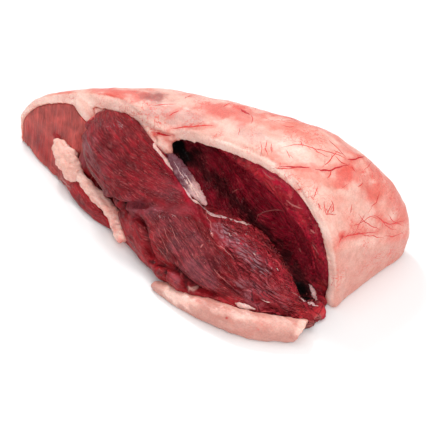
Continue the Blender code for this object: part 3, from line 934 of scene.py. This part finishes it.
def raw_lean():
    """Raw lean meat, cut and torn along its seams: dark red fibres in bundles under a thin wet film."""
    look = bpy.context.scene.lean_look
    material, node = start_material(
        "raw_lean_wet_cut",
        Roughness=0.38,
        IOR=1.38,
        Specular_IOR_Level=0.28,
        Subsurface_Weight=0.06,
        Subsurface_Scale=0.001,
        Subsurface_Radius=(1.0, 0.25, 0.18),
        Coat_Weight=0.08,
        Coat_Roughness=0.1,
        Coat_IOR=1.33,
    )
    light = (*look.fibre_highlight, 1)
    flesh = node("Attribute", out="Color", attribute_name="flesh")
    grain = node("Attribute", out="Vector", attribute_name="grain")
    # Between two muscles the grain fades, because it has no one direction there
    clear = node("Attribute", out="Fac", attribute_name="clear")
    slack = node("Attribute", out="Fac", attribute_name="wrinkled")
    painted_sheen = node("Attribute", out="Fac", attribute_name="painted_sheen")
    place = node("TexCoord", out="Object")
    width = look.fibre / MM
    # Bundles of fibres, about a millimetre wide and eight long, with dark seams between them
    run = node("Mapping", {"Vector": grain, "Scale": (0.13 / width, 1 / width, 1)})
    bend = node("TexNoise", {"Vector": run, "Scale": 0.7, "Detail": 2.0}, "Color")
    bent = node("Mix", {FACTOR: 0.3, FIRST: run, SECOND: bend}, MIXED, **PLUS)
    cells = {"Vector": bent, "Scale": 0.8}
    seam = node("TexVoronoi", cells, feature="DISTANCE_TO_EDGE")
    tone = node("SeparateColor", {0: node("TexVoronoi", cells, "Color")})
    dark = node("MapRange", {VALUE: seam, FROM_LOW: 0.0, FROM_HIGH: 0.12, TO_LOW: 0.45, TO_HIGH: 1.0})
    half = node("Math", {0: clear, 1: 0.6}, operation="MULTIPLY")
    shade = node("Mix", {FACTOR: half, FIRST: flesh, SECOND: dark}, MIXED, **TIMES)
    vary = node("MapRange", {VALUE: tone, TO_LOW: 0.7, TO_HIGH: 1.25})
    varied = node("Mix", {FACTOR: clear, FIRST: shade, SECOND: vary}, MIXED, **TIMES)
    # Single fibres, too fine for the mesh, painted lighter as highlights. None of them shows in hollows,
    # where the flesh is painted nearly black as shade
    fine = node("Mapping", {"Vector": grain, "Scale": (0.32 / width, 2.6 / width, 1)})
    fibre = node("TexNoise", {"Vector": fine, "Scale": 1.0, "Detail": 3.0, "Distortion": 0.4})
    lit = node("MapRange", {VALUE: fibre, FROM_LOW: 0.56, FROM_HIGH: 0.64, TO_HIGH: 0.5})
    red = node("SeparateColor", {0: flesh})
    fresh = node("MapRange", {VALUE: red, FROM_LOW: 0.01, FROM_HIGH: 0.16})
    bright = node("Math", {0: lit, 1: fresh}, operation="MULTIPLY")
    share = node("Math", {0: bright, 1: clear}, operation="MULTIPLY")
    fibrous = node("Mix", {FACTOR: share, FIRST: varied, SECOND: light}, MIXED, **OVER)
    # Blotches between five and six millimetres wide, and pale specks just under one, which are painted glints
    patch = node("TexNoise", {"Vector": place, "Scale": 0.18 / MM, "Detail": 5.0})
    mottle = node("MapRange", {VALUE: patch, FROM_LOW: 0.32, FROM_HIGH: 0.68, TO_LOW: 0.68, TO_HIGH: 1.28})
    mottled = node("Mix", {FACTOR: 1.0, FIRST: fibrous, SECOND: mottle}, MIXED, **TIMES)
    speck = node("TexNoise", {"Vector": place, "Scale": 1.1 / MM, "Detail": 1.0})
    dots = node("MapRange", {VALUE: speck, FROM_LOW: 0.7, FROM_HIGH: 0.76, TO_HIGH: 0.6})
    shown = node("Math", {0: dots, 1: fresh}, operation="MULTIPLY")
    dotted = node("Mix", {FACTOR: shown, FIRST: mottled, SECOND: light}, MIXED, **OVER)
    # Painted reflection of the pale sky on the wet crests between the seams
    crest = node("MapRange", {VALUE: seam, FROM_LOW: 0.05, FROM_HIGH: 0.2, TO_HIGH: 0.75})
    mirror = node("Math", {0: painted_sheen, 1: crest}, operation="MULTIPLY")
    glossed = node("Mix", {FACTOR: mirror, FIRST: dotted, SECOND: (*look.sheen, 1)}, MIXED, **OVER)
    # The film is smoothest on clear grain and on wrinkles, and dull in the hollows
    rough = node("MapRange", {VALUE: patch, FROM_LOW: 0.35, FROM_HIGH: 0.65, TO_LOW: 0.52, TO_HIGH: 0.76})
    slick = node("Math", {0: slack, 1: -0.06, 2: rough}, operation="MULTIPLY_ADD")
    sheen = node("Math", {0: clear, 1: -0.32, 2: slick}, operation="MULTIPLY_ADD")
    dull = node("Math", {0: fresh, 1: -0.45, 2: 0.45}, operation="MULTIPLY_ADD")
    duller = node("Math", {0: sheen, 1: dull}, operation="ADD", use_clamp=True)
    valley = node("MapRange", {VALUE: seam, FROM_LOW: 0.0, FROM_HIGH: 0.3})
    valleys = node("Math", {0: valley, 1: 0.5, 2: fibre}, operation="MULTIPLY_ADD")
    height = node("Math", {0: valleys, 1: clear}, operation="MULTIPLY")
    # Wrinkles between those of the mesh, where the muscle has slackened
    folds = {"Vector": grain, "Scale": 0.22, "Distortion": 5.0, "Detail": 2.0, "Detail Scale": 0.6}
    waves = node("TexWave", folds, "Fac", bands_direction="Y")
    wrinkles = node("Math", {0: waves, 1: slack}, operation="MULTIPLY")
    relief = node("Math", {0: wrinkles, 1: 1.6, 2: height}, operation="MULTIPLY_ADD")
    bump = node("Bump", {"Height": relief, "Strength": 1.0, "Distance": 0.6 * MM})
    return finish_material(material, Base_Color=glossed, Roughness=duller, Normal=bump)


def raw_fat(name, roughness=0.42, veined=0.0):
    """Firm raw fat: pale and waxy, with a soft glow from under the surface, crazing and hairline vessels."""
    material, node = start_material(
        name,
        Roughness=roughness,
        IOR=1.44,
        Specular_IOR_Level=0.4,
        Subsurface_Weight=0.2,
        Subsurface_Scale=0.002,
        Subsurface_Radius=(1.0, 0.45, 0.3),
        Coat_Weight=0.1,
        Coat_Roughness=0.22,
    )
    flesh = node("Attribute", out="Color", attribute_name="flesh")
    place = node("TexCoord", out="Object")
    # Blood between strands that are five millimetres wide and fourteen long
    drawn = node("Mapping", {"Vector": place, "Scale": (0.07 / MM, 0.19 / MM, 0.19 / MM)})
    strands = node("TexNoise", {"Vector": drawn, "Scale": 1.0, "Detail": 6.0, "Roughness": 0.7})
    blood = node("MapRange", {VALUE: strands, FROM_LOW: 0.36, FROM_HIGH: 0.66})
    clean, bloody = (1.05, 1.07, 1.07, 1), (0.93, 0.77, 0.74, 1)
    tone = node("Mix", {FACTOR: blood, FIRST: clean, SECOND: bloody}, MIXED, **OVER)
    shade = node("Mix", {FACTOR: 1.0, FIRST: flesh, SECOND: tone}, MIXED, **TIMES)
    # Vessels too fine to lay on, about four millimetres apart, in patches of thirteen millimetres
    warp = node("TexNoise", {"Vector": place, "Scale": 0.26 / MM, "Detail": 4.0}, "Color")
    apart = node("Mix", {FACTOR: 0.012, FIRST: place, SECOND: warp}, MIXED, **PLUS)
    web = node("TexVoronoi", {"Vector": apart, "Scale": 0.24 / MM}, feature="DISTANCE_TO_EDGE")
    hair = node("MapRange", {VALUE: web, FROM_HIGH: 0.05, TO_LOW: 1.0, TO_HIGH: 0.0})
    area = node("TexNoise", {"Vector": place, "Scale": 0.075 / MM, "Detail": 3.0})
    there = node("MapRange", {VALUE: area, FROM_LOW: 0.48, FROM_HIGH: 0.62, TO_HIGH: veined})
    share = node("Math", {0: hair, 1: there}, operation="MULTIPLY")
    red = (*bpy.context.scene.trim_look.vessel, 1)
    veins = node("Mix", {FACTOR: share, FIRST: shade, SECOND: red}, MIXED, **OVER)
    # A grain of two thirds of a millimetre over lumps of three, which are crazed
    grain = node("TexNoise", {"Vector": place, "Scale": 1.5 / MM, "Detail": 3.0})
    fleck = node("MapRange", {VALUE: grain, FROM_LOW: 0.35, FROM_HIGH: 0.65, TO_LOW: 0.92, TO_HIGH: 1.06})
    flecked = node("Mix", {FACTOR: 1.0, FIRST: veins, SECOND: fleck}, MIXED, **TIMES)
    lumps = node("TexNoise", {"Vector": place, "Scale": 0.33 / MM, "Detail": 6.0, "Roughness": 0.65})
    uneven = {"Vector": lumps.node.outputs["Color"], "Scale": 3.2}
    craze = node("TexVoronoi", uneven, feature="DISTANCE_TO_EDGE")
    lines = node("MapRange", {VALUE: craze, FROM_HIGH: 0.12, TO_HIGH: 0.3})
    rise = node("Math", {0: lumps, 1: lines}, operation="ADD")
    height = node("Math", {0: grain, 1: 0.6, 2: rise}, operation="MULTIPLY_ADD")
    bump = node("Bump", {"Height": height, "Strength": 0.6, "Distance": 0.2 * MM})
    return finish_material(material, Base_Color=flecked, Normal=bump)


def wet_thread(name, roughness):
    """Gristle or a vessel: smooth, wet and evenly coloured along its length."""
    material, node = start_material(
        name,
        Roughness=roughness,
        IOR=1.4,
        Subsurface_Weight=0.15,
        Subsurface_Scale=0.0008,
        Coat_Weight=0.2,
    )
    flesh = node("Attribute", out="Color", attribute_name="flesh")
    # Lumps of a millimetre and a half
    lumps = node("TexNoise", {"Vector": node("TexCoord", out="Object"), "Scale": 0.7 / MM, "Detail": 3.0})
    tone = node("MapRange", {VALUE: lumps, FROM_LOW: 0.3, FROM_HIGH: 0.7, TO_LOW: 0.75, TO_HIGH: 1.15})
    shade = node("Mix", {FACTOR: 1.0, FIRST: flesh, SECOND: tone}, MIXED, **TIMES)
    bump = node("Bump", {"Height": lumps, "Strength": 0.5, "Distance": 0.2 * MM})
    return finish_material(material, Base_Color=shade, Normal=bump)


def muscle_table(look):
    """Each muscle's middle line, the angle of its fibres to it and its colour."""
    return {
        "end": (END_FACE, 90, look.end),
        "eye": (EYE, 8, look.eye),
        "flank": (FLANK, -6, look.flank),
        "inner": (INNER, 12, look.inner),
        "end_strip": (END_STRIP, 0, look.strips),
        "edge_strip": (EDGE_STRIP, 0, look.strips),
        "edge_beads": (EDGE_BEADS, 0, look.strips),
        "pocket": (POCKET, -6, look.pocket),
    }


class CHUMP_OT_lean(bpy.types.Operator):
    """Build the lean meat: the eye, flank and inner muscles, the thin end and the pocket that the bone came
    out of
    """

    bl_idname = "chump.lean"
    bl_label = "Lean meat"

    def execute(self, context):
        look = context.scene.lean_look
        cap = tree_of(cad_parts["fat_cap"])

        def hidden(points):
            """Where the cap or the board covers the lean."""
            pressed = ramp(distances(cap, points, 3.0), APART, TOUCHING)
            return np.maximum(pressed, ramp(points[:, 2], 0.5, 0.1))

        skin = Skin("lean", "lean_meat", look.cell, hidden, share=0.56)
        behind = ramp(skin.points[:, 1] + STRIPS_LEAN * skin.points[:, 2], *STRIPS_BORDER)
        skin.relax(60, STRIPS_SMOOTHING + 0.7 * behind)
        points = skin.points
        wobble = np.stack([noise(points / 6, 11 + k, 2) for k in range(3)], axis=1)
        muscles = muscle_table(look)
        names = list(muscles)
        found = [along_muscle(points + 0.5 * wobble, rows, tilt) for rows, tilt, _ in muscles.values()]
        gaps, runs, sides = (np.array(part) for part in zip(*found))
        # All points up to the limit belong to the thin end. Only the strip at its foot lends it some colour
        ending = points[:, 0] + 2 * wobble[:, 0] < END_LIMIT
        gaps[names.index("end")] = np.where(ending, 0, FAR)
        others = [names.index(name) for name in BEYOND_END]
        gaps[others] += np.where(ending, FAR, 0)
        first = gaps.argmin(0)
        each = np.arange(len(points))
        finer = np.where(ending, END_FINENESS, 1)
        run, side = runs[first, each] * finer, sides[first, each] * finer
        shares = np.exp(-(gaps - gaps.min(0)) / COLOUR_BLUR)
        shares /= shares.sum(0)
        clear = skin.inside(first) * np.where(ending, END_CLEARNESS, 1)
        chosen, far, _ = skin.near(skin.spots(TIP), TIP_WHOLE)
        clear[chosen] *= ramp(far, TIP_TORN, TIP_WHOLE)
        flesh = np.ones((len(points), 4))
        flesh[:, :3] = shares.T @ np.array([colour for _, _, colour in muscles.values()])
        dried = shares[names.index("flank")] * 0.35 + 0.1
        cover(flesh, look.bloom_and_reflection, ramp(noise(points / 9, 13, 3), 0.1, 1.0) * dried)
        skin.blushes(flesh, look, PATCHES)
        # The third number sets each muscle apart, so that the same place along two of them looks different
        grain = np.stack([run, side, first * 40.0], axis=1)
        fibres = noise(np.stack([run / 7, side / 1.3, first * 7.0], axis=1), 3, 2)
        inner = ramp(shares[names.index("inner")], 0.3, 0.8)
        inner = inner * ramp(points[:, 0], *WRINKLES_START) * ramp(points[:, 0], *WRINKLES_STOP)
        waves = np.sin(2 * np.pi * (side / (look.wrinkle / MM) + 1.2 * noise(points / 4, 9, 2)))
        # Where a reflection is painted on the crests of the wrinkles
        painted_sheen = np.zeros(len(points))
        for places, radius, strength in SHINES:
            chosen, share = skin.patch(places, radius, 0.5 * radius, 73, 3)
            painted_sheen[chosen] = np.maximum(painted_sheen[chosen], strength * share)
        cuts = skin.forms(CREASES, SWELLINGS)
        layers = {"clear": clear, "grain": grain, "flesh": flesh, "painted_sheen": painted_sheen, "wrinkled": inner}
        for name, values in layers.items():
            skin.paint(name, values)
        free, touching = contact(cap, points)
        bumps = FIBRE_HEIGHT * fibres * clear + LUMP_HEIGHT * noise(points / 8, 5, 2)
        bumps += WRINKLE_HEIGHT * waves * inner
        skin.push(bumps * free + cuts * (1 - touching) + LEAN_CLOSING * touching)
        skin.done("lean", raw_lean())
        return {"FINISHED"}


class CHUMP_OT_fat_cap(bpy.types.Operator):
    """Build the fat cap, with its blushes, cut edge, fold and wedge"""

    bl_idname = "chump.fat_cap"
    bl_label = "Fat cap"

    def execute(self, context):
        look = context.scene.fat_look
        lean = tree_of(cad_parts["lean"])

        def hidden(points):
            """Where the lean covers the cap."""
            return ramp(distances(lean, points, 3.0), 1.4, 0.8)

        skin = Skin("fat_cap", "fat_cap_skin", look.cell, hidden, share=0.7)
        skin.relax(30)
        points, facing = skin.points, skin.normals()
        layers = [
            (look.pale, 1.0),
            (look.pink, ramp(noise(points / 13, 21, 4), -0.5, 0.9)),
            (look.stained, 0.4 * ramp(noise(points / 9, 25, 4), 0.25, 1.1)),
        ]
        flesh = blend(layers, len(points))
        skin.blushes(flesh, look, BLUSHES)
        # Below the line, the end wall is painted duller, as shade
        height = points[:, 2] + WALL_FALL * points[:, 1] + noise(points / 5, 29, 2)
        wall = ramp(height, WALL_TOP, WALL_TOP - 3) * (0.75 * ramp(points[:, 0], *WALL_START))
        cover(flesh, look.wall, wall)
        # What faces the front, and not the right, is cut
        front = ramp(-facing[:, 1] - 0.6 * np.maximum(facing[:, 0], 0), 0.55, 0.8)
        cover(flesh, look.cut, 0.85 * front)
        chosen, far, _ = skin.near(through(seen(skin.tree(), RIM), 150), 2 * RIM_HALF_WIDTH)
        edge = far + 0.5 * noise(points[chosen] / 3, 27, 2)
        cover(flesh, look.cut, 0.8 * ramp(edge, RIM_HALF_WIDTH * 1.15, RIM_HALF_WIDTH * 0.8), chosen)
        for places, width in VESSELS:
            if width >= STAINING:
                skin.blush(flesh, places, 1.2 + 3 * width, look.stained, 0.45)
        for place, radius in RED_POINTS:
            skin.blush(flesh, (place,), radius, look.point, 0.9)
        skin.paint("flesh", flesh)
        cuts = skin.forms(CAP_CREASES, CAP_SWELLINGS)
        free, touching = contact(lean, points)
        lumps = 0.4 * noise(points / 10, 31, 2) + 0.1 * noise(points / 2.4, 33, 2)
        skin.push(lumps * free + cuts + CAP_CLOSING * touching)
        skin.done("fat_cap", raw_fat("raw_fat_waxy", 0.42, veined=0.8))
        return {"FINISHED"}


class CHUMP_OT_trimmings(bpy.types.Operator):
    """Build the fat between the muscles and the flap of fat at the foot"""

    bl_idname = "chump.trimmings"
    bl_label = "Seam fat and flap"

    def execute(self, context):
        look = context.scene.fat_look
        # Each node's rounds of smoothing, and the height and width of its lumps
        for node, rounds, height, width in (("seam_fat", 8, 0.5, 3.0), ("base_flap", 6, 0.35, 5.0)):
            skin = Skin(node, node + "_trim", TRIM_CELL)
            skin.relax(rounds)
            points = skin.points
            drawn = points @ np.diag((0.6, 1, 1))
            blood = 0.6 * ramp(noise(points @ np.diag((0.12, 0.5, 0.5)), 41, 3), -0.3, 0.9)
            if node == "seam_fat":
                torn = ramp(points[:, 0], -18, -6) * ramp(noise(points / 3, 45, 2), -0.6, 0.6)
                layers = [(look.cut, 1.0), (look.pink, blood), (look.stained, 0.6 * torn)]
                crags, swelling = np.where(points[:, 0] < LUMP_LIMIT, 0.55, 0.3), 0.5
            else:
                # The flap is painted duller towards the board, as shade below its ridge
                low = ramp(points[:, 2] + 0.6 * noise(points / 4, 47, 2), 6.0, 2.0)
                layers = [(look.pale, 1.0), (look.pink, blood), (look.shade, 0.45 + 0.45 * low)]
                crags, swelling = 0.15, 0
            flesh = blend(layers, len(points))
            skin.blushes(flesh, look, TRIM_BLUSHES[node])
            skin.paint("flesh", flesh)
            rough = crags * noise(drawn / 1.5, 44, 2)
            skin.push(height * noise(drawn / width, 43, 3) + rough + swelling)
            skin.done(node, raw_fat("raw_fat_" + node, 0.4, veined=0.25))
        return {"FINISHED"}


class CHUMP_OT_silverskin(bpy.types.Operator):
    """Build the silverskin beside the pocket"""

    bl_idname = "chump.silverskin"
    bl_label = "Silverskin"

    def execute(self, context):
        look = context.scene.trim_look
        skin = Skin("silverskin", "silverskin_film", FILM_CELL)
        skin.relax(5)
        ragged = 0.8 * ramp(skin.points[:, 0] + 5 * noise(skin.points / 3, 53, 3), 4, 16)
        skin.paint("flesh", blend([(look.film, 1.0), (look.ragged, ragged)], len(skin.points)))
        skin.push(0.5 * noise(skin.points / 1.6, 51, 3))
        skin.done("silverskin", raw_fat("silverskin_wet", 0.3))
        return {"FINISHED"}


class CHUMP_OT_gristle(bpy.types.Operator):
    """Lay lines of gristle and torn fibres on the lean"""

    bl_idname = "chump.gristle"
    bl_label = "Gristle"

    def execute(self, context):
        look = context.scene.trim_look
        meat = bpy.data.objects["lean_meat"]
        threads = Threads(tree_of(meat), seed=7)
        for places, width, colour in GRISTLE:
            threads.lay(threads.route(places, sway=0.22), width, getattr(look, colour), height=0.5)
        # Short pink scraps laid as painted glints where the lean faces the camera
        back = Vector(view_axes()[2])
        front = [vertex for vertex in meat.data.vertices if vertex.normal @ back > SCRAP_FACING]
        for k in threads.rng.integers(len(front), size=SCRAP_GLINTS):
            heading = threads.rng.normal(size=3) + np.array(SCRAP_HEADING)
            line = threads.creep(front[k].co / MM, heading, threads.rng.uniform(2, 4))
            half = line * 0.5 + line[:1] * 0.5
            threads.lay(half, threads.rng.uniform(0.05, 0.1), look.pink, height=0.6)
        threads.tree = tree_of(bpy.data.objects["silverskin_film"])
        for places, width, colour in FILM_LINES:
            threads.lay(threads.route(places, sway=0.3), width, getattr(look, colour), height=0.4)
        threads.done("gristle_lines", "silverskin", wet_thread("gristle_wet", 0.3))
        return {"FINISHED"}


class CHUMP_OT_vessels(bpy.types.Operator):
    """Lay blood vessels on the fat cap"""

    bl_idname = "chump.vessels"
    bl_label = "Blood vessels"

    def execute(self, context):
        look = context.scene.trim_look
        cap = bpy.data.objects["fat_cap_skin"]
        threads = Threads(tree_of(cap), seed=19)
        for places, width in VESSELS:
            colour = look.clot if width > CLOTTED else look.vessel
            line = threads.route(places, sway=0.35)
            middle, forward, normals = threads.lay(line, 0.02 + 1.1 * width, colour)
            for k in range(4, len(middle) - 3, TWIG_STEP):
                if threads.rng.random() < TWIG_CHANCE:
                    side = threads.rng.choice((-1, 1))
                    across = side * np.cross(normals[k], forward[k])
                    heading = forward[k] + across * threads.rng.uniform(0.5, 1.1)
                    twig = threads.creep(middle[k], heading, threads.rng.uniform(2, 5))
                    threads.lay(twig, TWIG_WIDTH, look.vessel)
        starts = np.array([vertex.co / MM for vertex in cap.data.vertices])
        starts = starts[(starts[:, 1] > BACK_Y) & (starts[:, 2] > BACK_Z)]
        for start in starts[threads.rng.integers(len(starts), size=HIDDEN_VESSELS)]:
            branch = threads.creep(start, threads.rng.normal(size=3), threads.rng.uniform(3, 13))
            threads.lay(branch, threads.rng.uniform(0.08, 0.26), look.vessel)
        threads.done("blood_vessels", "lean", wet_thread("vessel_under_film", 0.35))
        return {"FINISHED"}


def aimed(holder, place, back):
    """Puts a lamp or the camera at a place, with the way from its aim back to it."""
    holder.location = place
    holder.rotation_euler = (-back).to_track_quat("-Z", "Y").to_euler()
    return holder


class CHUMP_OT_stage(bpy.types.Operator):
    """Build the floor, the light and the camera"""

    bl_idname = "chump.stage"
    bl_label = "Stage"

    def execute(self, context):
        scene = context.scene
        bpy.ops.mesh.primitive_plane_add(size=FLOOR_SIZE)
        floor = context.object
        floor.name = "floor"
        white = (0.93, 0.93, 0.93, 1)
        board = {"Base_Color": white, "Roughness": 0.9, "Specular_IOR_Level": 0.1}
        floor.data.materials.append(start_material("matt_white_board", **board)[0])
        floor.location.z = -FLOOR_DROP * MM
        world = bpy.data.worlds.new("soft_white")
        world.use_nodes = True
        sky = world.node_tree.nodes["Background"].inputs
        sky["Color"].default_value = (1, 1, 1, 1)
        sky["Strength"].default_value = SKY
        scene.world = world
        for name, place, size, power in LAMPS:
            lamp = bpy.data.lights.new(name, "AREA")
            lamp.size = size
            lamp.energy = power
            aimed(placed(name, lamp), Vector(place), Vector(place))
        camera = bpy.data.cameras.new("camera")
        back = Vector(view_axes()[2])
        scene.camera = aimed(placed("camera", camera), (Vector(AIM) + back * DISTANCE) * MM, back)
        camera.sensor_width = SENSOR
        camera.lens = FOCAL / VIEW * SENSOR
        camera.clip_start = 0.01
        scene.view_settings.view_transform = "Standard"
        return {"FINISHED"}


class CHUMP_PT_panel(bpy.types.Panel):
    bl_label = "Lamb chump"
    bl_idname = "CHUMP_PT_panel"
    bl_space_type = "VIEW_3D"
    bl_region_type = "UI"
    bl_category = "Lamb chump"

    def draw(self, context):
        for group, kind in GROUPS.items():
            box = self.layout.box()
            for name in kind.__annotations__:
                box.prop(getattr(context.scene, group), name)
        for step in STEPS:
            self.layout.operator(step.bl_idname)


GROUPS = {"lean_look": LeanLook, "fat_look": FatLook, "trim_look": TrimLook}
STEPS = (
    CHUMP_OT_lean,
    CHUMP_OT_fat_cap,
    CHUMP_OT_trimmings,
    CHUMP_OT_silverskin,
    CHUMP_OT_gristle,
    CHUMP_OT_vessels,
    CHUMP_OT_stage,
)


def register():
    for made in (*GROUPS.values(), *STEPS, CHUMP_PT_panel):
        bpy.utils.register_class(made)
    for name, group in GROUPS.items():
        setattr(bpy.types.Scene, name, PointerProperty(type=group))


def unregister():
    for name in GROUPS:
        delattr(bpy.types.Scene, name)
    for made in reversed((*GROUPS.values(), *STEPS, CHUMP_PT_panel)):
        bpy.utils.unregister_class(made)


def main():
    register()
    for step in STEPS:
        group, name = step.bl_idname.split(".")
        getattr(getattr(bpy.ops, group), name)()


if __name__ == "__main__":
    main()
